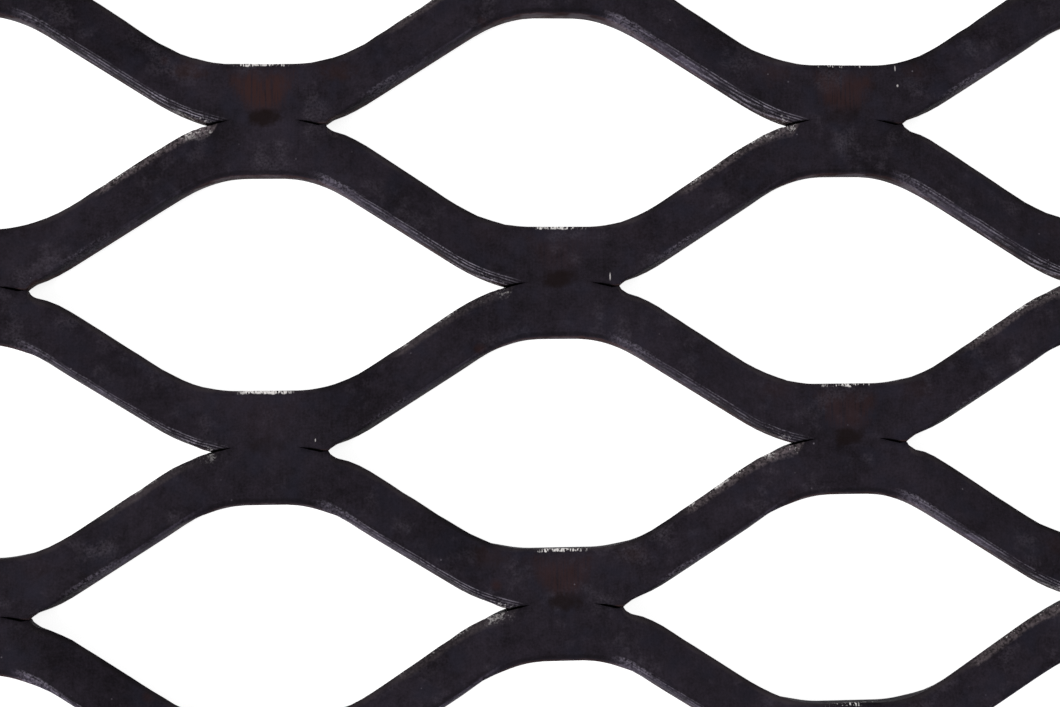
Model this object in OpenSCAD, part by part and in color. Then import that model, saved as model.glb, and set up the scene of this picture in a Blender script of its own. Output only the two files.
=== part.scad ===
// Expanded metal sheet: one steel sheet, slit and stretched into a diamond mesh, then rolled nearly flat.
// X is the long way of the mesh, Y the short way, and Z = 0 is the plane that the sheet rests on.

/* [Sheet] */
// Length of the sheet along the long way of the mesh
sheet_len = 500; // [160:10:500]
// Number of wavy strands side by side, which gives the sheet's width
strand_rows = 12; // [2:1:12]
// Thickness of the steel
sheet_t = 3; // [1.5:0.1:4]

/* [Mesh] */
// Long way of the mesh, from bond centre to bond centre
lwd = 76; // [66:0.5:100]
// Short way of the mesh, from bond centre to bond centre
swd = 42; // [36:0.5:50]
// Length over which two strands stay one metal, from notch to notch
bond_len = 14; // [10:0.5:18]
// Half of the angle at which the two strands part in a notch
notch_angle = 15.5; // [8:0.5:24]
// Length along the mesh of a strand's curve into a notch
notch_bend = 7; // [3:0.5:8]

/* [Strand] */
// Width of a strand at its bond with the strand below, from the seam to its tooth-cut edge
tooth_w = 7.8; // [5:0.1:9]
// Width of a strand at its bond with the strand above, from its back edge to the seam
back_w = 6.8; // [5:0.1:9]
// Straight length of the tooth-cut edge, on the +Y side of a bond
tooth_flat = 7.5; // [4:0.5:12]
// Straight length of the back edge, on the -Y side of a bond
back_flat = 4.5; // [2:0.5:10]
// Length along the mesh of the curve from the tooth-cut edge's straight into a leg
tooth_bend = 10.5; // [4:0.5:11]
// Length along the mesh of the curve from the back edge's straight into a leg
back_bend = 8.5; // [4:0.5:11]
// Lean that the rolling left in the legs, seen along the mesh
leg_tilt = 19; // [0:1:25]
// Length along the mesh over which a strand twists from flat to its full lean
twist_len = 6.5; // [4:0.5:9]

/* [Hidden] */
// Flat steps that follow each twist and each curve
twist_steps = 3;
// Shortest step that is left beside a cut end
min_step = 0.4;
mill_scale = "#2a272e";

pitch_x = lwd / 2;
pitch_y = swd / 2;
bond_half = bond_len / 2;
notch_slope = tan(notch_angle);
end_x = sheet_len / 2;
mid_row = (strand_rows - 1) / 2;

// An edge of a strand climbs from one bond to the notch beside the next: flat, curve, straight leg, curve.
// The distance runs from the centre of the bond whose outer edge this is, and the height from its seam.
function edge_height(distance, width, flat_half, bend) =
    let (
        along = distance - flat_half,
        to_notch = pitch_x - bond_half - distance,
        slope = (pitch_y - width - notch_slope * notch_bend / 2)
            / (pitch_x - bond_half - flat_half - (bend + notch_bend) / 2)
    )
    along <= 0 ? width
    : to_notch <= 0 ? pitch_y
    : along < bend ? width + slope * along * along / (2 * bend)
    : to_notch > notch_bend ? width + slope * (along - bend / 2)
    : pitch_y - notch_slope * to_notch - (slope - notch_slope) * to_notch * to_notch / (2 * notch_bend);

// The lean grows smoothly from nothing at a bond to leg_tilt on the leg.
function smooth(s) = s <= 0 ? 0 : s >= 1 ? 1 : s * s * (3 - 2 * s);
function lean(distance) =
    leg_tilt * smooth((min(distance, pitch_x - distance) - bond_half) / twist_len);

// Four corners of a strand's section at a distance from the bond with the strand below it, as [y, z]:
// top +Y, top -Y, bottom -Y and bottom +Y.
function section(distance) =
    let (
        upper = edge_height(distance, tooth_w, tooth_flat / 2, tooth_bend),
        lower = pitch_y - edge_height(pitch_x - distance, back_w, back_flat / 2, back_bend),
        turn = lean(distance),
        shift = sheet_t * sin(turn),
        drop = (upper - lower - shift) / cos(turn) * sin(turn) / 2,
        rise = sheet_t * cos(turn) / 2
    )
    [[upper, rise - drop], [lower + shift, rise + drop], [lower, drop - rise], [upper - shift, -rise - drop]];

// Places of the sections along the mesh, between the centres of one bond and the next
station_steps = [
    bond_half / 2,
    for (i = [0 : twist_steps]) bond_half + twist_len * i / twist_steps,
    for (i = [twist_steps : -1 : 0]) pitch_x - bond_half - twist_len * i / twist_steps,
    pitch_x - bond_half / 2
];
// Height of the sheet's middle plane over the plane that its lowest edges rest on
middle_z = -min([for (step = station_steps) section(step)[3][1]]);

columns = ceil(end_x / pitch_x);
stations = [
    -end_x,
    for (column = [-columns : columns - 1], step = station_steps)
        let (x = column * pitch_x + step)
        if (abs(x) < end_x - min_step) x,
    end_x
];
station_count = len(stations);

function column_at(x) = floor(x / pitch_x + 1e-6);
function is_low(row, column) = (row + column) % 2 == 0;
// Distance along the mesh from the nearest bond with the strand below
function low_distance(row, x) =
    let (column = column_at(x), step = x - column * pitch_x)
    is_low(row, column) ? step : pitch_x - step;
// Whether a section lies in the bond with the strand below
function is_bonded_below(row, x) = row > 0 && low_distance(row, x) < bond_half + 1e-6;

// The sheet's points, four to a section. A bond's middle points belong to the lower strand alone.
points = [
    for (row = [0 : strand_rows - 1], x = stations, corner = section(low_distance(row, x)))
        [x, (row - mid_row - 0.5) * pitch_y + corner[0], corner[1] + middle_z]
];
function own_point(row, station, corner) = (row * station_count + station) * 4 + corner;
function point_at(row, station, corner) =
    (corner == 1 || corner == 2) && is_bonded_below(row, stations[station])
    ? own_point(row - 1, station, corner == 1 ? 0 : 3)
    : own_point(row, station, corner);

// Whether the side from one section to the next lies inside a bond, where there is no face
function is_inside(row, station, side) =
    side == 1 ? is_bonded_below(row, stations[station]) && is_bonded_below(row, stations[station + 1])
    : side == 3 ? row < strand_rows - 1
        && is_bonded_below(row + 1, stations[station])
        && is_bonded_below(row + 1, stations[station + 1])
    : false;

faces = [
    for (row = [0 : strand_rows - 1], station = [0 : station_count - 2], side = [0 : 3])
        if (!is_inside(row, station, side))
            let (
                next_side = (side + 1) % 4,
                a = point_at(row, station, side),
                b = point_at(row, station, next_side),
                c = point_at(row, station + 1, next_side),
                d = point_at(row, station + 1, side)
            )
            each [[a, b, c], [a, c, d]],
    for (row = [0 : strand_rows - 1])
        each [
            [for (corner = [3, 2, 1, 0]) point_at(row, 0, corner)],
            [for (corner = [0 : 3]) point_at(row, station_count - 1, corner)]
        ]
];

// The whole sheet as one closed solid: strands swept side by side, sharing their metal at the bonds
module mesh_sheet() {
    color(mill_scale)
        polyhedron(points, faces, convexity = 10);
}

mesh_sheet();
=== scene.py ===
import math
from collections import namedtuple

import bmesh
import bpy
from mathutils import Matrix, Vector, noise


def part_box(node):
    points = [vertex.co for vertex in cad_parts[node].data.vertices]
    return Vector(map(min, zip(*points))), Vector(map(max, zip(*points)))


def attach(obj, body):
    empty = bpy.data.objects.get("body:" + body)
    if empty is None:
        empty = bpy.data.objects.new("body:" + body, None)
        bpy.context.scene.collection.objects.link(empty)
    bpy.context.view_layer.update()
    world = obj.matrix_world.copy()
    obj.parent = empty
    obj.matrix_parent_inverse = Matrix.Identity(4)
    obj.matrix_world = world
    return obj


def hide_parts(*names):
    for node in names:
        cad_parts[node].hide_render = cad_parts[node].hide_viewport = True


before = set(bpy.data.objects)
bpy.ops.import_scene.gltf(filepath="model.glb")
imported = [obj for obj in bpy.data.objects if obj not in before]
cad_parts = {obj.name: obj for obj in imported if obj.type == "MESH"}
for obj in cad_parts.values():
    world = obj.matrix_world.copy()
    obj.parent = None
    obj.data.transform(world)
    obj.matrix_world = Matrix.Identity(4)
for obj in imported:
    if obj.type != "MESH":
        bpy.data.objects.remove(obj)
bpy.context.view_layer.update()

# The sheet is worked out in millimetres and made metres at the end.
MM = 0.001
SHEET_LOW, SHEET_HIGH = (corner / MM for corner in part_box("mesh_sheet"))

# Sizes of the mesh, as the solid has them
SHEET_LEN = SHEET_HIGH.x - SHEET_LOW.x
SHEET_T = 3.0
MIDDLE_Z = (SHEET_LOW.z + SHEET_HIGH.z) / 2
PITCH_X = 76.0 / 2
PITCH_Y = 42.0 / 2
ROWS = round((SHEET_HIGH.y - SHEET_LOW.y) / PITCH_Y)
BOND_HALF = 14.0 / 2
NOTCH_SLOPE = math.tan(math.radians(15.5))
NOTCH_BEND = 7.0
TOOTH_W = 7.8
BACK_W = 6.8
TOOTH_FLAT = 7.5
BACK_FLAT = 4.5
TOOTH_BEND = 10.5
BACK_BEND = 8.5
LEG_TILT = math.radians(19)
TWIST_LEN = 6.5

# The slit runs on into a bond as a crack, curving up from the notch. It ends short of the bond's centre,
# gapes on top and is almost shut further down. The painted black shade inside it shows only in part on the
# faces beside it.
CRACK_END = 4.0
CRACK_START = 1.5
CRACK_FADE = 1.0
CRACK_OPEN = 0.13
CRACK_DEPTH = 1.2
CRACK_LEAST = 0.02
CRACK_BESIDE = 0.3
SEAM_RISE = 0.9
# The notch on the +X side of a bond is torn blunt: closed as far as its tip, and rounded into both strands.
BLUNT_SHIFT = 0.95
BLUNT_CLOSE = 1.3
BLUNT_GAP = 0.32
BLUNT_ABOVE = 0.15
BLUNT_BELOW = 0.34
BLUNT_START = 0.3
BLUNT_RUN = 3.5
# What the stretched legs bulge beyond their straight edges
LEG_BULGE = 0.13
# Edges: rolled over on the -Y side, sharp with a burr on the +Y side
ROUND_RUN = 3.0
DIE_ROLL = 0.5
BURR_ROUND = 0.06
UNDER_ROUND = 0.12
ROUND_INSET = 1 - math.sqrt(0.5)
ROLL_LANE = 0.5
BURR_LANE = 1.0
# Torn facet along a tooth-cut edge: beside a notch, along a rising leg as far as it tore, and elsewhere
TEAR_WIDTH = 1.8
TEAR_INTO = 2.0
TEAR_START = 0.4
TEAR_RUN = 3.0
TEAR_DROP = 0.3
BURR_WIDTH = 1.45
BURR_END = 14.0
BURR_FADE = 1.2
THIN_BURR = 0.95
THIN_SHARE = 0.6
TOOTH_BURR = 0.4
TOOTH_FADE = 7.0
NO_BURR = 0.5
BLUNT_GRAIN = 0.5
# Back-cut edge, by the distance from the bond below: knife lines, the dull facet with its painted sheen and
# painted crease shade, and the scuffs at its ends.
# Each pair gives where a ramp starts and how long it is.
LINES_INTO = 5.0
LINES_SHARE = 0.5
LINES_BRIGHT = (9.0, 11.0)
LINES_END = (27.0, 5.0)
RISING_FACET_RAMPS = ((15.0, 4.0), (25.0, 6.0))
FALLING_FACET_RAMPS = ((16.0, 5.0), (29.0, 4.0))
LOW_SCUFF_RAMPS = ((12.0, 3.0), (16.0, 4.0))
HIGH_SCUFF_RAMPS = ((25.0, 3.0), (30.0, 2.0))
# Seed of the noise that the uneven stretch and the random marks are drawn from: each run draws the same
NOISE_SEED = 1
# Uneven stretch of the whole sheet, and nicks in the upper part of the burred edges, new on each strand
WAVE_SIZE = 45.0
WAVE_HEIGHT = 0.2
WAVE_FADE = 12.0
NICK_SIZE = 1.1
NICK_DEPTH = 0.22
NICK_REACH = 0.6
NICK_ROW = 7.0

# Steps of the modelled sheet from a bond's centre to the middle of a leg, as (length in mm, steps): two
# parts of the bond, the closed and the open part of a notch, and two parts of the leg. The ends of the
# sheet cut a leg between its two parts.
TIP_LEN = 1.2
LEG_END = 3.0
LEG_LEN = PITCH_X / 2 - BOND_HALF - BLUNT_SHIFT - TIP_LEN - LEG_END
STEP_PLAN = [
    (CRACK_END, 3),
    (BOND_HALF - CRACK_END, 4),
    (BLUNT_SHIFT, 1),
    (TIP_LEN, 5),
    (LEG_LEN, 5),
    (LEG_END, 2),
]
# Steps across one strand, and through a cut face
LANES = 4
RIM_LAYERS = 4
# Shares of a strand's width or of the thickness: within the first a place is on an edge, and past the
# second an edge of the blank is upright. A face whose normal rises less than the second is a cut face.
TOUCH = 0.01
UPRIGHT = 0.5

# The photograph's camera: place, point aimed at, roll and lens, fitted to the mesh
CAMERA_PLACE = Vector((-27.6, -11.85, 262.4))
CAMERA_AIM = Vector((-3.76, -8.75, 2.67))
CAMERA_ROLL = math.radians(-0.68)
CAMERA_LENS = 67.9
SENSOR_WIDTH = 36.0
# The room, in metres and watts: the place, size and power of each lamp, the world's strength, half of the
# floor's width, and the paper's own glow
KEY_LAMP = ((-1.2, -0.3, 1.0), 0.8, 25)
FILL_LAMP = ((1.1, 0.5, 1.2), 0.9, 8)
WORLD_LEVEL = 0.35
FLOOR_HALF = 40.0
PAPER_GLOW = 0.8

# Marks at a bond, each from none to full: the tool's rub, blot, tear and lines, the painted glints on its
# tooth, and the back-cut facets below it, with their scuffs, painted sheen and painted crease shade
Wear = namedtuple("Wear", "rub blot tear lines glint facet")
# Marks on the bonds that the photograph shows, by column and seam. Other bonds draw theirs at random.
BOND_WEAR = {
    (0, 8): Wear(rub=0.3, blot=0.5, tear=0.5, lines=0.8, glint=0.6, facet=0.6),
    (-1, 7): Wear(rub=1.0, blot=1.0, tear=1.0, lines=1.0, glint=0.8, facet=0.4),
    (1, 7): Wear(rub=0.65, blot=0.35, tear=0.8, lines=1.0, glint=0.2, facet=0.6),
    (-2, 6): Wear(rub=0.2, blot=0.5, tear=0.4, lines=0.8, glint=0.6, facet=0.4),
    (0, 6): Wear(rub=0.2, blot=0.9, tear=0.4, lines=0.9, glint=0.4, facet=0.5),
    (2, 6): Wear(rub=0.3, blot=0.5, tear=0.8, lines=1.0, glint=0.6, facet=0.5),
    (-1, 5): Wear(rub=0.1, blot=0.4, tear=0.25, lines=0.8, glint=1.0, facet=0.4),
    (1, 5): Wear(rub=0.5, blot=0.8, tear=0.9, lines=0.55, glint=0.5, facet=0.3),
    (-2, 4): Wear(rub=0.2, blot=0.5, tear=0.4, lines=0.8, glint=0.6, facet=1.0),
    (0, 4): Wear(rub=0.6, blot=0.9, tear=0.35, lines=0.8, glint=0.8, facet=0.7),
    (-1, 3): Wear(rub=0.3, blot=0.5, tear=0.5, lines=1.0, glint=0.6, facet=1.0),
    (1, 3): Wear(rub=0.3, blot=0.5, tear=0.5, lines=0.8, glint=0.1, facet=0.5),
}
# The noise that the random marks are drawn from: its steps for a column and for a seam, its plane, and
# the middle and the spread of the marks
WEAR_COLUMN = 3.7
WEAR_SEAM = 5.3
WEAR_PLANE = 1.5
WEAR_MIDDLE = 0.5
WEAR_SPREAD = 0.9
# How far the rub mark of a bond reaches, and the length over which it ends
RUB_REACH = 13.0
RUB_FADE = 2.0
# Oval marks, each as its centre, measured from a bond's, and half of its width and height
SCUFF_OVAL = ((0.5, -3.2, 0.0), (4.5, 2.4))
WING_OVAL = ((9.6, 7.0, 0.0), (2.8, 1.6))
BLOT_OVAL = ((0.1, 0.9, 0.0), (2.2, 1.2))
# Bright scratches: the same, measured from the sheet's centre
SCRATCHES = [
    ((6.7, 1.15, 0.0), (0.11, 0.6)),
    ((45.0, 28.4, 0.0), (0.1, 0.45)),
    ((45.3, 26.1, 0.0), (0.16, 0.22)),
    ((-31.7, -19.6, 0.0), (0.09, 0.25)),
]
# What the mesh keeps at each vertex for its material
EDGE_MARKS = (
    "from_low", "from_high", "burr", "torn", "grainy", "scrape", "facet", "scuff", "depth", "crack",
)
BOND_MARKS = ("rub", "blot", "glint")

# Sizes of the patterns in the scale. The grain is drawn coarser than it is, so that it shows.
CLOUD_SIZE = 9.0
BLUE_SIZE = 4.0
SCUFF_SIZE = 6.0
MOTTLE_SIZE = 1.5
GRAIN_SIZE = 0.32
TORN_GRAIN = 0.34
DRAG_SIZE = (0.3, 5.0, 5.0)
TICK_SIZE = (0.26, 0.7, 0.7)
CLUMP_SIZE = 2.2
SPOT_PITCH = 11.0
DUST_PITCH = 2.6
# Knife lines: their width, their spacing, how fast they change along the mesh, per mm, and how far the
# clouds shift them
LINE_SIZE = 0.2
LINE_PITCH = 0.36
LINE_CHANGE = 0.35
LINE_DRIFT = 9.0
# Depths in the sheet between which the tools' marks, and the torn grains, fade out
MARKS_FADE = (SHEET_T - 0.5, SHEET_T - 0.1)
GRAINS_FADE = (0.5, 1.1)
# Kinds of node that the materials use most, and the setting that gives a range soft ends
NOISE = "ShaderNodeTexNoise"
MATH = "ShaderNodeMath"
VECTOR = "ShaderNodeVectorMath"
RANGE = "ShaderNodeMapRange"
MIX = "ShaderNodeMix"
SOFT = {"interpolation_type": "SMOOTHSTEP"}


def clamp(share):
    return min(max(share, 0.0), 1.0)


def smooth(share):
    """Smooth step from 0 to 1."""
    share = clamp(share)
    return share * share * (3 - 2 * share)


def low_distance(row, x):
    """Distance along the mesh from the nearest bond of a strand with the strand below it."""
    column = math.floor(x / PITCH_X + 1e-6)
    step = x - column * PITCH_X
    return step if (row + column) % 2 == 0 else PITCH_X - step


def is_right_of_bond(row, x):
    """Whether a place lies on the +X side of the nearest bond of a strand with the strand below it."""
    column = math.floor(x / PITCH_X + 1e-6)
    return (row + column) % 2 == 0


def edge_height(distance, width, flat, bend):
    """Height of a strand's edge: flat at its bond, a curve, a straight leg and a curve into the notch."""
    along = distance - flat / 2
    to_notch = PITCH_X - BOND_HALF - distance
    slope = (PITCH_Y - width - NOTCH_SLOPE * NOTCH_BEND / 2) / (
        PITCH_X - BOND_HALF - flat / 2 - (bend + NOTCH_BEND) / 2
    )
    if along <= 0:
        return width
    if to_notch <= 0:
        return PITCH_Y
    if along < bend:
        return width + slope * along * along / (2 * bend)
    if to_notch > NOTCH_BEND:
        return width + slope * (along - bend / 2)
    curved = (slope - NOTCH_SLOPE) * to_notch * to_notch / (2 * NOTCH_BEND)
    return PITCH_Y - NOTCH_SLOPE * to_notch - curved


def seam_shift(from_bond, is_right, blunt, gap):
    """How far a seam lies over its straight line, and how far a blunt notch cuts into the strand beside it.

    The gap beside the seam is closed as far as the blunt tip, so the cut is less than nothing there.
    """
    rise = SEAM_RISE * max(0.0, 1 - (from_bond / BOND_HALF) ** 2)
    if not is_right or from_bond <= BOND_HALF:
        return rise, 0.0
    past_tip = max(0.0, from_bond - BOND_HALF - BLUNT_SHIFT)
    rounded = blunt * min(1.0, math.sqrt(past_tip / BLUNT_START)) * (1 - smooth(past_tip / BLUNT_RUN))
    closed = min(gap, BLUNT_GAP) * (1 - smooth(past_tip / BLUNT_CLOSE))
    return rise, rounded - closed


def section(row, x):
    """Top -Y corner of a strand's section as (y, z), its width along the lean, and the lean."""
    distance = low_distance(row, x)
    is_right = is_right_of_bond(row, x)
    upper = edge_height(distance, TOOTH_W, TOOTH_FLAT, TOOTH_BEND)
    lower = PITCH_Y - edge_height(PITCH_X - distance, BACK_W, BACK_FLAT, BACK_BEND)
    on_leg = smooth((min(distance, PITCH_X - distance) - BOND_HALF) / TWIST_LEN)
    turn = LEG_TILT * on_leg
    shift = SHEET_T * math.sin(turn)
    if row < ROWS - 1:
        upper += LEG_BULGE * on_leg
        rise, cut = seam_shift(PITCH_X - distance, not is_right, BLUNT_BELOW, PITCH_Y + shift / 2 - upper)
        upper += rise - cut
    if row > 0:
        lower -= LEG_BULGE * on_leg
        rise, cut = seam_shift(distance, is_right, BLUNT_ABOVE, lower + shift / 2)
        lower += rise + cut
    width = (upper - lower - shift) / math.cos(turn)
    top = SHEET_T * math.cos(turn) / 2 + width * math.sin(turn) / 2
    return lower + shift, top, width, turn


def step_count(length):
    """Steps that the plan takes over a length from the middle of the sheet."""
    count = 0.0
    while True:
        for size, steps in STEP_PLAN + STEP_PLAN[::-1]:
            if length <= size:
                return count + steps * length / size
            length -= size
            count += steps


def step_place(count):
    """Place along the sheet after a count of the plan's steps, which may be negative."""
    place, left = 0.0, abs(count)
    while True:
        for size, steps in STEP_PLAN + STEP_PLAN[::-1]:
            if left <= steps:
                return math.copysign(place + size * left / steps, count)
            left -= steps
            place += size


def is_slit(edge):
    """Whether an edge of the flat blank lies on a seam, past the ends of the cracks in the bonds."""
    x, y, _ = (edge.verts[0].co + edge.verts[1].co) / 2
    row = round(y)
    on_seam = abs(y - row) < TOUCH and 0 < row < ROWS
    return on_seam and low_distance(row, x) > CRACK_END


def slit_blank():
    """The flat blank, slit but not stretched: X in mm, Y in strands and Z in thicknesses of the sheet."""
    half = step_count(SHEET_LEN / 2)
    bm = bmesh.new()
    bmesh.ops.create_grid(bm, x_segments=round(2 * half), y_segments=ROWS * LANES, size=0.5)
    bmesh.ops.scale(bm, vec=(2 * half, ROWS, 1), verts=bm.verts)
    bmesh.ops.translate(bm, vec=(0, ROWS / 2, 0), verts=bm.verts)
    for vert in bm.verts:
        vert.co.x = step_place(vert.co.x)
    bmesh.ops.split_edges(bm, edges=[edge for edge in bm.edges if is_slit(edge)])
    strand = bm.verts.layers.float.new("strand")
    for vert in bm.verts:
        vert[strand] = math.floor(min(face.calc_center_median().y for face in vert.link_faces))
    grown = bmesh.ops.extrude_face_region(bm, geom=bm.faces[:])["geom"]
    under = [item for item in grown if isinstance(item, bmesh.types.BMVert)]
    bmesh.ops.translate(bm, vec=(0, 0, -1), verts=under)
    bmesh.ops.recalc_face_normals(bm, faces=bm.faces[:])
    uprights = [edge for edge in bm.edges if abs(edge.verts[0].co.z - edge.verts[1].co.z) > UPRIGHT]
    bmesh.ops.subdivide_edges(bm, edges=uprights, cuts=RIM_LAYERS - 1)
    return bm


def spread(share, steps, size, first, last):
    """Place of an even share of a size, with a given width of the first and the last step."""
    step = share * steps
    if step <= 1:
        return first * step
    if step >= steps - 1:
        return size - last * (steps - step)
    return first + (size - first - last) * (step - 1) / (steps - 2)


def wave(x, y):
    """Small uneven stretch of the sheet at a place, fading towards its borders."""
    fade = smooth((SHEET_LEN / 2 - abs(x)) / WAVE_FADE) * smooth((SHEET_HIGH.y - abs(y)) / WAVE_FADE)
    return noise.noise_vector(Vector((x, y, 0)) / WAVE_SIZE) * WAVE_HEIGHT * fade


def bond_wear(column, seam):
    """Marks on the bond at a column and seam of the mesh."""
    place = Vector((column * WEAR_COLUMN, seam * WEAR_SEAM, WEAR_PLANE))
    draws = (*noise.noise_vector(place), *noise.noise_vector(-place))
    drawn = Wear(*(clamp(WEAR_MIDDLE + WEAR_SPREAD * draw) for draw in draws[:len(Wear._fields)]))
    return BOND_WEAR.get((column, seam), drawn)


def rise_and_fall(distance, ramps):
    """Smooth bump from 0 to 1 and back, with a start and a length for each of its two ramps."""
    (start, run), (end, fade) = ramps
    return smooth((distance - start) / run) * (1 - smooth((distance - end) / fade))


def torn_facet(from_tooth, past_notch, is_rising, tear):
    """Width of the torn facet on a tooth-cut edge, less than nothing for none, its strength and grain."""
    if not is_rising:
        past_notch -= BLUNT_SHIFT
    if past_notch < 0:
        kept = 1 - smooth(-past_notch / TEAR_INTO) if is_rising else 0.0
        return (TEAR_WIDTH + NO_BURR) * kept - NO_BURR, tear, tear
    by_notch = 1 - smooth((past_notch - TEAR_START) / TEAR_RUN)
    along = 1 - smooth((past_notch - BURR_END) / BURR_FADE) if is_rising else 0.0
    on_tooth = 1 - smooth((from_tooth - TOOTH_FLAT / 2) / TOOTH_FADE)
    width = THIN_BURR + (BURR_WIDTH - THIN_BURR) * along + (TOOTH_BURR - THIN_BURR) * on_tooth
    strength = THIN_SHARE + (1 - THIN_SHARE) * along * tear
    grain = tear * (along if is_rising else BLUNT_GRAIN * by_notch)
    if is_rising:
        width += (TEAR_WIDTH - BURR_WIDTH) * by_notch
        strength += (tear - strength) * by_notch
        grain += (tear - grain) * by_notch
    return width, strength, grain


def knife_lines(distance, is_rising):
    """How bare the knife left the back-cut edge: most beside the -X notch of a bond, feathered into it."""
    if is_rising:
        return 0.0
    start, run = LINES_BRIGHT
    end, fade = LINES_END
    bright = (1 - LINES_SHARE) * (1 - smooth((distance - start) / run))
    even = LINES_SHARE * (1 - smooth((distance - end) / fade))
    return smooth((distance - CRACK_END) / LINES_INTO) * (bright + even)


def shape_edge(row, x, is_low, through, down, burr):
    """Crack, round and nick a place on a cut face: how far it draws in, its depth and how much painted black
    shade its crack gets.
    """
    distance = low_distance(row, x)
    from_bond = distance if is_low else PITCH_X - distance
    has_bond = row > 0 if is_low else row < ROWS - 1
    opened = smooth((from_bond - CRACK_END) / ROUND_RUN) if has_bond else 1.0
    is_top = through < TOUCH
    is_flat = is_top or through > 1 - TOUCH
    inward = 0.0
    crack = 0.0
    if has_bond and from_bond < BOND_HALF + CRACK_FADE:
        ended = smooth((from_bond - BOND_HALF) / CRACK_FADE)
        crack = clamp((from_bond - CRACK_END) / CRACK_START) * (1 - ended)
        inward += CRACK_OPEN * crack * max(CRACK_LEAST, 1 - down / CRACK_DEPTH)
    if is_flat:
        radius = (DIE_ROLL if is_low else BURR_ROUND) if is_top else UNDER_ROUND
        inward += ROUND_INSET * radius * opened
        down += ROUND_INSET * radius * opened * (1 if is_top else -1)
    if not is_low and through < NICK_REACH:
        ragged = noise.noise(Vector((x, row * NICK_ROW, through)) / NICK_SIZE)
        inward += NICK_DEPTH * max(0.0, ragged) * clamp(burr / BURR_WIDTH) * opened
        if is_top and is_right_of_bond(row, x):
            down += TEAR_DROP * clamp(burr / BURR_WIDTH) * opened
    return inward, down, crack * (CRACK_BESIDE if is_flat else 1.0)


def stretch(bm):
    """Open the slit blank into the mesh, and mark its edges and what the tools did to them."""
    strand = bm.verts.layers.float["strand"]
    marks = {name: bm.verts.layers.float.new(name) for name in EDGE_MARKS}
    rims = {vert for face in bm.faces if abs(face.normal.z) < UPRIGHT for vert in face.verts}
    for vert in bm.verts:
        x, blank_y, blank_z = vert.co
        row = round(vert[strand])
        across, through = blank_y - row, -blank_z
        distance = low_distance(row, x)
        is_rising = is_right_of_bond(row, x)
        corner_y, corner_z, width, turn = section(row, x)
        ahead = 1 if is_rising else -1
        below = bond_wear(round((x - ahead * distance) / PITCH_X), row)
        above = bond_wear(round((x + ahead * (PITCH_X - distance)) / PITCH_X), row + 1)
        burr, torn, grainy = torn_facet(distance, PITCH_X - BOND_HALF - distance, is_rising, above.tear)

        place = spread(across, LANES, width, ROLL_LANE, BURR_LANE)
        down = spread(through, RIM_LAYERS, SHEET_T, ROLL_LANE, ROLL_LANE)
        crack = 0.0
        is_low = across < TOUCH
        is_high = across > 1 - TOUCH
        if vert in rims and (is_low or is_high):
            inward, down, crack = shape_edge(row, x, is_low, through, down, burr)
            place += inward if is_low else -inward
        run = math.cos(turn) * place - math.sin(turn) * down
        y = SHEET_LOW.y + row * PITCH_Y + corner_y + run
        z = MIDDLE_Z + corner_z - math.sin(turn) * place - math.cos(turn) * down
        moved = wave(x, y)
        vert.co = (x + moved.x, y + moved.y, z)

        low_edge = -SHEET_T * math.sin(turn)
        if distance < BOND_HALF:
            low_edge = NOTCH_SLOPE * (distance - BOND_HALF) - corner_y
        facet_ramps = RISING_FACET_RAMPS if is_rising else FALLING_FACET_RAMPS
        scuff_ramps = LOW_SCUFF_RAMPS if is_rising else HIGH_SCUFF_RAMPS
        values = {
            "from_low": run - low_edge,
            "from_high": width * math.cos(turn) - run,
            "burr": burr,
            "torn": torn,
            "grainy": grainy,
            "scrape": below.lines * knife_lines(distance, is_rising),
            "facet": below.facet * rise_and_fall(distance, facet_ramps),
            "scuff": below.facet * rise_and_fall(distance, scuff_ramps),
            "depth": down,
            "crack": crack,
        }
        for name, layer in marks.items():
            vert[layer] = values[name]
    bm.verts.layers.float.remove(strand)


def mark_bonds(bm):
    """Give each bond's metal the strength of its rub mark, the blot under it and the painted glints on its
    tooth.
    """
    marks = {name: bm.verts.layers.float.new(name) for name in BOND_MARKS}
    for vert in bm.verts:
        seam = round((vert.co.y - SHEET_LOW.y - BACK_W / 2) / PITCH_Y)
        column = round(vert.co.x / PITCH_X)
        if (seam + column) % 2:
            continue
        aside = Vector((vert.co.x - column * PITCH_X, vert.co.y - SHEET_LOW.y - seam * PITCH_Y, 0))
        near = 1 - smooth((aside.length - RUB_REACH) / RUB_FADE)
        wear = bond_wear(column, seam)
        for name, layer in marks.items():
            vert[layer] = getattr(wear, name) * near


def make_sheet():
    """The expanded sheet as one closed piece."""
    noise.seed_set(NOISE_SEED)
    bm = slit_blank()
    stretch(bm)
    mark_bonds(bm)
    bmesh.ops.scale(bm, vec=(MM, MM, MM), verts=bm.verts)
    for face in bm.faces:
        face.smooth = True
    mesh = bpy.data.meshes.new("expanded_sheet")
    bm.to_mesh(mesh)
    bm.free()
    piece = bpy.data.objects.new("expanded_sheet", mesh)
    bpy.context.collection.objects.link(piece)
    return piece


def colour(text):
    """Linear colour of an sRGB hex value."""
    parts = [int(text[i:i + 2], 16) / 255 for i in (1, 3, 5)]
    return [p / 12.92 if p <= 0.04045 else ((p + 0.055) / 1.055) ** 2.4 for p in parts] + [1.0]


def add(tree, kind, inputs, out=0, **settings):
    """Add a node with its settings and return one output. An input is a value or a socket that feeds it."""
    node = tree.nodes.new(kind)
    for name, value in settings.items():
        setattr(node, name, value)
    for name, value in inputs.items():
        if isinstance(value, bpy.types.NodeSocket):
            tree.links.new(value, node.inputs[name])
        else:
            node.inputs[name].default_value = value
    return node.outputs[out] if node.outputs else None


def new_material(name):
    """An empty material and its node tree."""
    material = bpy.data.materials.new(name)
    material.use_nodes = True
    material.node_tree.nodes.clear()
    return material, material.node_tree


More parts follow.
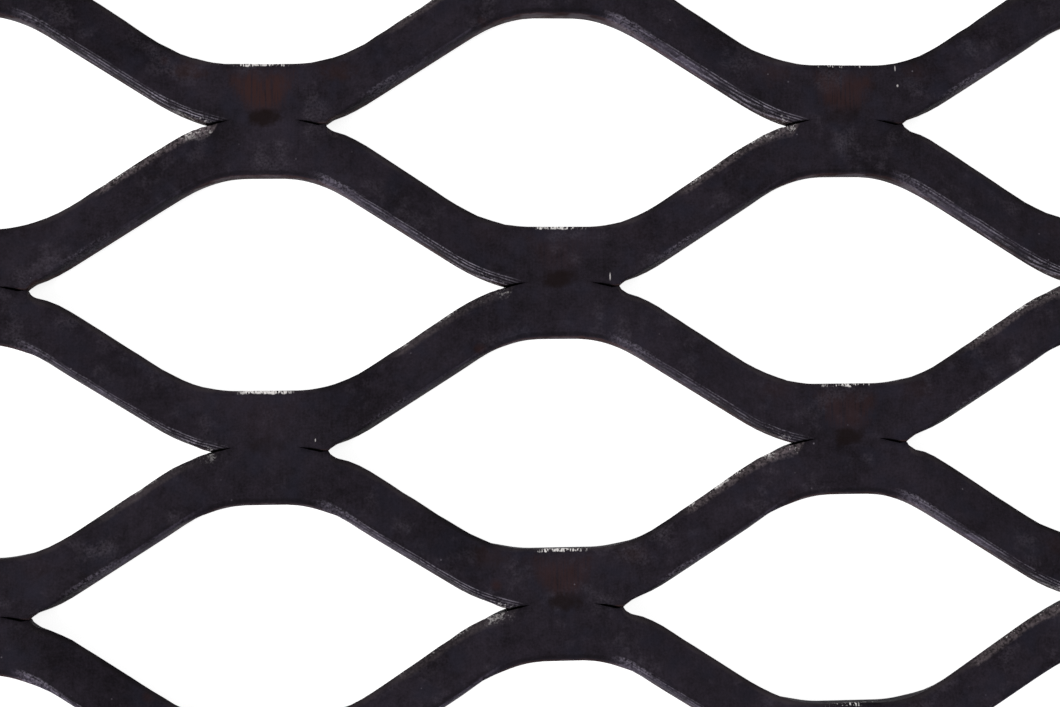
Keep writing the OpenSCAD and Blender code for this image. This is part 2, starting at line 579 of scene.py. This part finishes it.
def surface_fields(tree):
    """Sockets that the colours are drawn from: place in mm and from the nearest bond, marks and noise."""
    field = {}
    for name in EDGE_MARKS + BOND_MARKS:
        field[name] = add(tree, "ShaderNodeAttribute", {}, "Fac", attribute_name=name)
    place = add(tree, "ShaderNodeTexCoord", {}, "Object")
    mm = add(tree, VECTOR, {0: place, "Scale": 1 / MM}, operation="SCALE")

    # The bonds are two rectangular lattices, one between the other.
    reach = (PITCH_X, PITCH_Y, SHEET_LEN)
    back = (-PITCH_X, -PITCH_Y, -SHEET_LEN)
    even = add(tree, VECTOR, {0: mm, 1: reach, 2: back}, operation="WRAP")
    moved = add(tree, VECTOR, {0: mm, 1: (PITCH_X, PITCH_Y, 0.0)}, operation="SUBTRACT")
    odd = add(tree, VECTOR, {0: moved, 1: reach, 2: back}, operation="WRAP")
    even_far = add(tree, VECTOR, {0: even}, operation="ABSOLUTE")
    even_far = add(
        tree, VECTOR, {0: even_far, 1: (1 / PITCH_X, 1 / PITCH_Y, 0.0)}, "Value", operation="DOT_PRODUCT"
    )
    is_even = add(tree, MATH, {0: even_far, 1: 1.0}, operation="LESS_THAN")
    from_bond = add(tree, MIX, {0: is_even, 4: odd, 5: even}, 1, data_type="VECTOR")
    beside = add(tree, "ShaderNodeSeparateXYZ", {0: from_bond}, "X")
    above = add(tree, "ShaderNodeSeparateXYZ", {0: from_bond}, "Y")

    drag_place = add(tree, VECTOR, {0: mm, 1: tuple(1 / size for size in DRAG_SIZE)}, operation="MULTIPLY")
    tick_place = add(tree, VECTOR, {0: mm, 1: tuple(1 / size for size in TICK_SIZE)}, operation="MULTIPLY")
    mottle = add(tree, NOISE, {"Vector": mm, "Scale": 1 / MOTTLE_SIZE, "Detail": 4.0, "Roughness": 0.65})
    field.update({
        "mm": mm,
        "from_bond": from_bond,
        "above": above,
        "aside": add(tree, MATH, {0: beside}, operation="ABSOLUTE"),
        "off_seam": add(tree, MATH, {0: above}, operation="ABSOLUTE"),
        "clouds": add(tree, NOISE, {"Vector": mm, "Scale": 1 / CLOUD_SIZE, "Detail": 3.0}),
        "blue": add(tree, NOISE, {"Vector": mm, "Scale": 1 / BLUE_SIZE, "Detail": 2.0, "Lacunarity": 2.3}),
        "mottle": mottle,
        "grain": add(tree, NOISE, {"Vector": mm, "Scale": 1 / GRAIN_SIZE, "Detail": 3.0, "Roughness": 0.7}),
        "clump": add(tree, NOISE, {"Vector": mm, "Scale": 1 / CLUMP_SIZE, "Detail": 1.0}),
        "drag": add(tree, NOISE, {"Vector": drag_place, "Scale": 1.0, "Detail": 2.0}),
        "glint_tick": add(tree, NOISE, {"Vector": tick_place, "Scale": 1.0, "Detail": 3.0}),
        "ragged": add(tree, MATH, {0: mottle, 1: 3.0, 2: -1.5}, operation="MULTIPLY_ADD"),
        "wavy": add(tree, MATH, {0: mottle, 1: 0.4, 2: field["from_low"]}, operation="MULTIPLY_ADD"),
    })
    for name, (full, none) in (("over", MARKS_FADE), ("near_top", GRAINS_FADE)):
        field[name] = add(tree, RANGE, {"Value": field["depth"], "From Min": none, "From Max": full})
    return field


def oval_patch(tree, place, centre, size):
    """Distance from the centre of an oval, which is 1 on its outline."""
    inside = add(tree, VECTOR, {0: place, 1: centre}, operation="SUBTRACT")
    inside = add(tree, VECTOR, {0: inside, 1: (1 / size[0], 1 / size[1], 0.0)}, operation="MULTIPLY")
    return add(tree, VECTOR, {0: inside}, "Value", operation="LENGTH")


def lay_coats(tree, base, coats):
    """Lay colours over a base one after another, each as far as all of its masks let it show."""
    for masks, tint in coats:
        share = masks[0]
        for mask in masks[1:]:
            share = add(tree, MATH, {0: share, 1: mask}, operation="MULTIPLY")
        base = add(tree, MIX, {0: share, 6: base, 7: tint}, 2, data_type="RGBA")
    return base


def scale_colour(tree, field):
    """Scale: soft clouds, mottling and grain with a blue cast, and drag lines the way the knife moved."""
    soft = 0.0
    for name, share in (("clouds", 0.5), ("mottle", 0.36), ("drag", 0.12), ("grain", 0.45)):
        soft = add(tree, MATH, {0: field[name], 1: share, 2: soft}, operation="MULTIPLY_ADD")
    shade = add(tree, RANGE, {"Value": soft, "From Min": 0.56, "From Max": 0.9})
    blue = add(tree, RANGE, {"Value": field["blue"], "From Min": 0.5, "From Max": 0.7, "To Max": 0.45})

    # Scuffs: patches of fine light grains, most on the lower strand of a bond
    patch = oval_patch(tree, field["from_bond"], *SCUFF_OVAL)
    patch = add(tree, RANGE, {"Value": patch, "From Min": 1.1, "From Max": 0.3}, **SOFT)
    patch = add(tree, MATH, {0: patch, 1: field["rub"]}, operation="MULTIPLY")
    scuff = {"Vector": field["mm"], "Scale": 1 / SCUFF_SIZE, "Detail": 4.0, "Roughness": 0.6}
    scuff = add(tree, NOISE, scuff)
    scuff = add(tree, MATH, {0: patch, 1: 0.1, 2: scuff}, operation="MULTIPLY_ADD")
    scuff = add(tree, RANGE, {"Value": scuff, "From Min": 0.56, "From Max": 0.8, "To Max": 0.45})
    flecks = add(tree, RANGE, {"Value": field["grain"], "From Min": 0.35, "From Max": 0.75})

    # Rust: a few small red-brown spots
    spot = add(tree, "ShaderNodeTexVoronoi", {"Vector": field["mm"], "Scale": 1 / SPOT_PITCH}, "Distance")
    spot = add(tree, MATH, {0: field["mottle"], 1: 0.08, 2: spot}, operation="MULTIPLY_ADD")
    spot = add(tree, RANGE, {"Value": spot, "From Min": 0.13, "From Max": 0.05, "To Max": 0.4})
    return lay_coats(tree, colour("#161317"), [
        ([shade], colour("#2b262e")),
        ([blue], colour("#1f1f29")),
        ([scuff, flecks], colour("#5e5860")),
        ([spot], colour("#341f1b")),
    ])


def rub_bond(tree, field, base):
    """Brown rub mark: a ragged trapezoid of fine streaks on the upper strand, wings and a blot under it."""
    streak = add(tree, MATH, {0: field["drag"], 1: 4.0, 2: -2.0}, operation="MULTIPLY_ADD")
    side = add(tree, MATH, {0: field["above"], 1: -0.45, 2: field["aside"]}, operation="MULTIPLY_ADD")
    for uneven in (field["ragged"], streak):
        side = add(tree, MATH, {0: side, 1: uneven}, operation="ADD")
    side = add(tree, RANGE, {"Value": side, "From Min": 2.2, "From Max": 0.0}, **SOFT)
    foot = add(tree, RANGE, {"Value": field["above"], "From Min": 1.0, "From Max": 3.2}, **SOFT)
    head = add(tree, MATH, {0: field["ragged"], 1: 1.2, 2: field["above"]}, operation="MULTIPLY_ADD")
    head = add(tree, RANGE, {"Value": head, "From Min": 7.6, "From Max": 5.0}, **SOFT)
    lines = add(tree, RANGE, {"Value": field["drag"], "From Min": 0.36, "From Max": 0.52, "To Min": 0.35})

    wing_place = add(tree, "ShaderNodeCombineXYZ", {0: field["aside"], 1: field["above"]})
    wing = oval_patch(tree, wing_place, *WING_OVAL)
    wing = add(tree, MATH, {0: field["ragged"], 1: 0.8, 2: wing}, operation="MULTIPLY_ADD")
    wing = add(tree, RANGE, {"Value": wing, "From Min": 1.1, "From Max": 0.2, "To Max": 0.45}, **SOFT)

    blot = oval_patch(tree, field["from_bond"], *BLOT_OVAL)
    blot = add(tree, MATH, {0: field["ragged"], 1: 0.5, 2: blot}, operation="MULTIPLY_ADD")
    blot = add(tree, RANGE, {"Value": blot, "From Min": 1.3, "From Max": 0.5, "To Max": 0.85}, **SOFT)
    return lay_coats(tree, base, [
        ([side, foot, head, lines, field["rub"]], colour("#302020")),
        ([wing, field["rub"]], colour("#2b1d1b")),
        ([blot, field["blot"]], colour("#160f0e")),
    ])


def cut_back_edge(tree, field, base):
    """Back-cut edge: a dull violet facet, the cut face's own tone with a painted sheen, under a soft crease
    of painted shade, scuffed at its ends, and bare lines.
    """
    band = add(tree, RANGE, {"Value": field["wavy"], "From Min": 1.75, "From Max": 1.5})
    band = add(tree, MATH, {0: band, 1: field["over"]}, operation="MULTIPLY")
    # The facet: partly the cut face's own dull violet, partly a painted sheen that lightens it
    face = add(tree, RANGE, {"Value": field["wavy"], "From Min": 1.4, "From Max": 1.05})
    patchy = add(tree, RANGE, {"Value": field["clouds"], "From Min": 0.4, "From Max": 0.6, "To Min": 0.45})
    mottled = add(tree, MATH, {0: field["grain"], 1: 0.7, 2: field["mottle"]}, operation="MULTIPLY_ADD")
    mottled = add(tree, RANGE, {"Value": mottled, "From Min": 0.68, "From Max": 1.05, "To Min": 0.15})
    # Crease: a soft dark line of painted shade above the facet
    crease_shade = add(tree, MATH, {0: field["wavy"], 1: 1.6}, operation="SUBTRACT")
    crease_shade = add(tree, MATH, {0: crease_shade}, operation="ABSOLUTE")
    crease_shade = add(tree, RANGE, {"Value": crease_shade, "From Min": 0.5, "From Max": 0.05, "To Max": 0.55})
    flecks = add(tree, RANGE, {"Value": field["grain"], "From Min": 0.42, "From Max": 0.68})
    brown = add(tree, RANGE, {"Value": field["wavy"], "From Min": 0.55, "From Max": 0.4, "To Max": 0.45})

    # Knife lines: fine grey lines along the edge, broken up by the grain
    slow = add(tree, VECTOR, {0: field["mm"], 1: (LINE_CHANGE, 0.0, 0.0)}, operation="MULTIPLY")
    line_place = add(tree, "ShaderNodeCombineXYZ", {1: field["from_low"]})
    line_place = add(
        tree, VECTOR, {0: line_place, 1: (0.0, 1 / LINE_SIZE, 0.0), 2: slow}, operation="MULTIPLY_ADD"
    )
    line = add(tree, NOISE, {"Vector": line_place, "Scale": 1.0, "Detail": 0.0})
    line = add(tree, RANGE, {"Value": line, "From Min": 0.38, "From Max": 0.62, "To Min": 0.12})
    drift = add(tree, MATH, {0: field["clouds"], 1: LINE_DRIFT}, operation="MULTIPLY")
    comb = {0: field["from_low"], 1: math.tau / LINE_PITCH, 2: drift}
    comb = add(tree, MATH, comb, operation="MULTIPLY_ADD")
    comb = add(tree, MATH, {0: comb}, operation="SINE")
    comb = add(tree, RANGE, {"Value": comb, "From Min": -0.5, "From Max": 0.9})
    worn = add(tree, MATH, {0: field["grain"], 1: 1.4, 2: field["mottle"]}, operation="MULTIPLY_ADD")
    worn = add(tree, RANGE, {"Value": worn, "From Min": 1.0, "From Max": 1.35, "To Min": 0.1})
    for mask in (comb, worn, band):
        line = add(tree, MATH, {0: line, 1: mask}, operation="MULTIPLY")

    # Back edge of a bond: a thin worn line under a dark line of painted shade
    at_back = add(tree, RANGE, {"Value": field["above"], "From Min": -5.0, "From Max": -6.0})
    shade = add(tree, MATH, {0: field["wavy"], 1: 0.85}, operation="SUBTRACT")
    shade = add(tree, MATH, {0: shade}, operation="ABSOLUTE")
    shade = add(tree, RANGE, {"Value": shade, "From Min": 0.35, "From Max": 0.1, "To Max": 0.45})
    rim = add(tree, RANGE, {"Value": field["wavy"], "From Min": 0.45, "From Max": 0.33})
    kept = add(tree, RANGE, {"Value": field["clump"], "From Min": 0.42, "From Max": 0.6, "To Max": 0.4})
    # Coats in order: the facet's painted sheen, the crease's painted shade, scuffs, knife lines, the brown
    # edge, and at a bond's back edge a line of painted shade and a worn line
    base = lay_coats(tree, base, [
        ([face, field["over"], field["facet"], patchy, mottled], colour("#6b6376")),
        ([crease_shade, field["facet"], patchy, field["over"]], colour("#121013")),
        ([flecks, band, field["scuff"], patchy], colour("#837c8b")),
        ([line, field["scrape"]], colour("#908a97")),
        ([brown, field["over"], patchy], colour("#503a36")),
        ([shade, at_back, field["over"]], colour("#100e10")),
        ([rim, kept, at_back, field["over"]], colour("#67626a")),
    ])
    return base, line


def tear_tooth_edge(tree, field, base):
    """Tooth-cut edge: a torn facet of fine grey grains, with painted glints along it as bright ticks and
    specks.
    """
    inside = add(tree, MATH, {0: field["burr"], 1: field["from_high"]}, operation="SUBTRACT")
    inside = add(tree, MATH, {0: field["ragged"], 1: 0.2, 2: inside}, operation="MULTIPLY_ADD")

    # Beside a notch the facet ends more softly, and its grains are barer.
    beside_notch = {"Value": field["burr"], "From Min": BURR_WIDTH, "From Max": TEAR_WIDTH}
    feather = add(tree, RANGE, beside_notch | {"To Min": 0.45, "To Max": 1.7})
    barer = add(tree, RANGE, beside_notch | {"To Min": 0.5})
    facet = add(tree, RANGE, {"Value": inside, "From Min": 0.0, "From Max": feather})
    for mask in (field["near_top"], field["torn"]):
        facet = add(tree, MATH, {0: facet, 1: mask}, operation="MULTIPLY")
    grains = add(tree, NOISE, {"Vector": field["mm"], "Scale": 1 / TORN_GRAIN, "Detail": 2.0})
    grains = add(tree, MATH, {0: field["drag"], 1: 0.35, 2: grains}, operation="MULTIPLY_ADD")
    grains = add(tree, RANGE, {"Value": grains, "From Min": 0.5, "From Max": 0.86})
    grains = add(tree, MATH, {0: grains, 1: barer}, operation="MULTIPLY")
    dull = add(tree, RANGE, {"Value": field["clouds"], "From Min": 0.4, "From Max": 0.62, "To Max": 0.2})
    grains = add(tree, MIX, {0: field["grainy"], 2: dull, 3: grains})
    torn = lay_coats(tree, colour("#1d1a1c"), [([grains], colour("#776c70"))])

    # Painted glints: ticks that crowd at the middle of a tooth.
    centred = add(tree, RANGE, {"Value": field["aside"], "From Min": 5.5, "From Max": 0.5, "To Max": 0.2})
    glint_tick = add(tree, MATH, {0: field["clump"], 1: 0.6, 2: field["glint_tick"]}, operation="MULTIPLY_ADD")
    glint_tick = add(tree, MATH, {0: glint_tick, 1: centred}, operation="ADD")
    glint_tick = add(tree, MATH, {0: field["glint"], 1: 0.2, 2: glint_tick}, operation="MULTIPLY_ADD")
    glint_tick = add(tree, RANGE, {"Value": glint_tick, "From Min": 1.07, "From Max": 1.15})
    on_tooth = add(tree, RANGE, {"Value": field["above"], "From Min": 6.0, "From Max": 7.0})
    on_flat = add(tree, RANGE, {"Value": field["aside"], "From Min": 3.8, "From Max": 2.4})
    at_edge = add(tree, RANGE, {"Value": inside, "From Min": 0.0, "From Max": 0.15})

    # A few specks of painted glint lie beside the notches, on the knife's side and on the torn side, and
    # along the torn legs.
    glint_speck = add(tree, MATH, {0: field["clump"], 1: 0.6, 2: field["grain"]}, operation="MULTIPLY_ADD")
    glint_speck = add(tree, RANGE, {"Value": glint_speck, "From Min": 0.88, "From Max": 1.0})
    by_notch = {"Value": field["off_seam"], "From Min": 2.2, "From Max": 0.7, "To Max": 0.7}
    by_notch = add(tree, RANGE, by_notch)
    at_tip = add(tree, RANGE, {"Value": field["from_low"], "From Min": 0.9, "From Max": 0.4})
    wide = add(tree, RANGE, {"Value": field["burr"], "From Min": THIN_BURR, "From Max": BURR_WIDTH})
    at_rim = add(tree, RANGE, {"Value": field["from_high"], "From Min": 0.6, "From Max": 0.3})
    # All the painted glints, laid on near-white over the torn facet
    bright = 0.0
    for masks in (
        (glint_tick, on_tooth, on_flat, at_edge, field["near_top"]),
        (glint_speck, by_notch, at_tip, field["scrape"], field["over"]),
        (glint_speck, by_notch, facet, wide),
        (glint_speck, at_rim, field["grainy"], wide, field["near_top"]),
    ):
        share = masks[0]
        for mask in masks[1:]:
            share = add(tree, MATH, {0: share, 1: mask}, operation="MULTIPLY")
        bright = add(tree, MATH, {0: bright, 1: share}, operation="MAXIMUM")
    base = lay_coats(tree, base, [([facet], torn), ([bright], colour("#f4f0ee"))])
    return base, facet, bright


def mill_scale_steel():
    """Hot-rolled steel in its mill scale: a thin satin oxide, almost black and faintly violet.

    The knife left bare grey lines on the cut faces, a torn burr on the tooth-cut edges, and brown rub marks
    where the tooth slid over the bonds.
    """
    material, tree = new_material("mill_scale_steel")
    field = surface_fields(tree)
    base = scale_colour(tree, field)
    base = rub_bond(tree, field, base)
    base, line = cut_back_edge(tree, field, base)
    base, torn, bright = tear_tooth_edge(tree, field, base)

    # Sparse dust specks, a few bright scratches, and painted black shade inside the cracks at the seams
    dust = add(tree, "ShaderNodeTexVoronoi", {"Vector": field["mm"], "Scale": 1 / DUST_PITCH}, "Distance")
    dust = add(tree, RANGE, {"Value": dust, "From Min": 0.06, "From Max": 0.02, "To Max": 0.6})
    dusty = add(tree, RANGE, {"Value": field["clump"], "From Min": 0.45, "From Max": 0.65})
    scratch = 1.0
    for centre, size in SCRATCHES:
        oval = oval_patch(tree, field["mm"], centre, size)
        scratch = add(tree, MATH, {0: oval, 1: scratch}, operation="MINIMUM")
    scratch = add(tree, RANGE, {"Value": scratch, "From Min": 1.0, "From Max": 0.5, "To Max": 0.65})
    crack = add(tree, RANGE, {"Value": field["crack"], "From Min": CRACK_BESIDE, "From Max": 0.8})
    base = lay_coats(tree, base, [
        ([dust, dusty], colour("#77717a")),
        ([scratch, field["over"]], colour("#c9c4c4")),
        ([crack], colour("#050505")),
    ])

    height = add(tree, MATH, {0: torn, 1: 2.0, 2: 1.0}, operation="MULTIPLY_ADD")
    height = add(tree, MATH, {0: height, 1: field["grain"], 2: field["mottle"]}, operation="MULTIPLY_ADD")
    height = add(tree, MATH, {0: line, 1: 1.5, 2: height}, operation="MULTIPLY_ADD")
    bump = add(tree, "ShaderNodeBump", {"Strength": 0.5, "Distance": 0.05 * MM, "Height": height})
    rough = {"Value": field["mottle"], "From Min": 0.3, "From Max": 0.7, "To Min": 0.5, "To Max": 0.75}
    rough = add(tree, RANGE, rough)
    # The painted glints are also made a little metallic.
    bare = add(tree, MATH, {0: bright, 1: 0.35}, operation="MULTIPLY")
    shader = add(tree, "ShaderNodeBsdfPrincipled", {
        "Base Color": base,
        "Roughness": rough,
        "Metallic": bare,
        "Specular IOR Level": 0.02,
        "Normal": bump,
    })
    add(tree, "ShaderNodeOutputMaterial", {"Surface": shader})
    return material


def white_paper():
    """Matt white paper: white to the camera and in reflections, and it keeps the sheet's shadow."""
    material, tree = new_material("white_paper")
    seen = 0.0
    for ray in ("Is Camera Ray", "Is Glossy Ray", "Is Transmission Ray"):
        is_ray = add(tree, "ShaderNodeLightPath", {}, ray)
        seen = add(tree, MATH, {0: seen, 1: is_ray}, operation="MAXIMUM")
    strength = add(tree, MATH, {0: seen, 1: PAPER_GLOW}, operation="MULTIPLY")
    glow = add(tree, "ShaderNodeEmission", {"Strength": strength})
    paper = add(tree, "ShaderNodeBsdfDiffuse", {"Color": colour("#c8c8c8")})
    both = add(tree, "ShaderNodeAddShader", {0: glow, 1: paper})
    add(tree, "ShaderNodeOutputMaterial", {"Surface": both})
    return material


def make_floor():
    """A level floor of white paper, so wide that no view shows its border."""
    bm = bmesh.new()
    bmesh.ops.create_grid(bm, x_segments=1, y_segments=1, size=FLOOR_HALF)
    mesh = bpy.data.meshes.new("floor")
    bm.to_mesh(mesh)
    bm.free()
    floor = bpy.data.objects.new("floor", mesh)
    bpy.context.collection.objects.link(floor)
    mesh.materials.append(white_paper())


def make_light(name, place, size, power):
    """A round soft lamp aimed at the sheet's centre."""
    light = bpy.data.lights.new(name, "AREA")
    light.shape = "DISK"
    light.size = size
    light.energy = power
    lamp = bpy.data.objects.new(name, light)
    lamp.location = place
    lamp.rotation_euler = (-Vector(place)).to_track_quat("-Z", "Y").to_euler()
    bpy.context.collection.objects.link(lamp)


def make_studio():
    """A dim white room with a soft lamp on either side."""
    scene = bpy.context.scene
    scene.view_settings.view_transform = "Standard"
    world = bpy.data.worlds.new("soft_room")
    world.use_nodes = True
    background = world.node_tree.nodes["Background"]
    background.inputs["Color"].default_value = colour("#ffffff")
    background.inputs["Strength"].default_value = WORLD_LEVEL
    scene.world = world
    make_light("key", *KEY_LAMP)
    make_light("fill", *FILL_LAMP)


def make_camera():
    """The photograph's camera, upright along Y but for its roll."""
    data = bpy.data.cameras.new("camera")
    data.lens = CAMERA_LENS
    data.sensor_width = SENSOR_WIDTH
    camera = bpy.data.objects.new("camera", data)
    back = (CAMERA_PLACE - CAMERA_AIM).normalized()
    right = Vector((0, 1, 0)).cross(back).normalized()
    turn = Matrix((right, back.cross(right), back)).transposed() @ Matrix.Rotation(CAMERA_ROLL, 3, "Z")
    camera.matrix_world = Matrix.Translation(CAMERA_PLACE * MM) @ turn.to_4x4()
    bpy.context.collection.objects.link(camera)
    bpy.context.scene.camera = camera


make_camera()
make_studio()
make_floor()
sheet = make_sheet()
sheet.data.materials.append(mill_scale_steel())
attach(sheet, "root")
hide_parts("mesh_sheet")
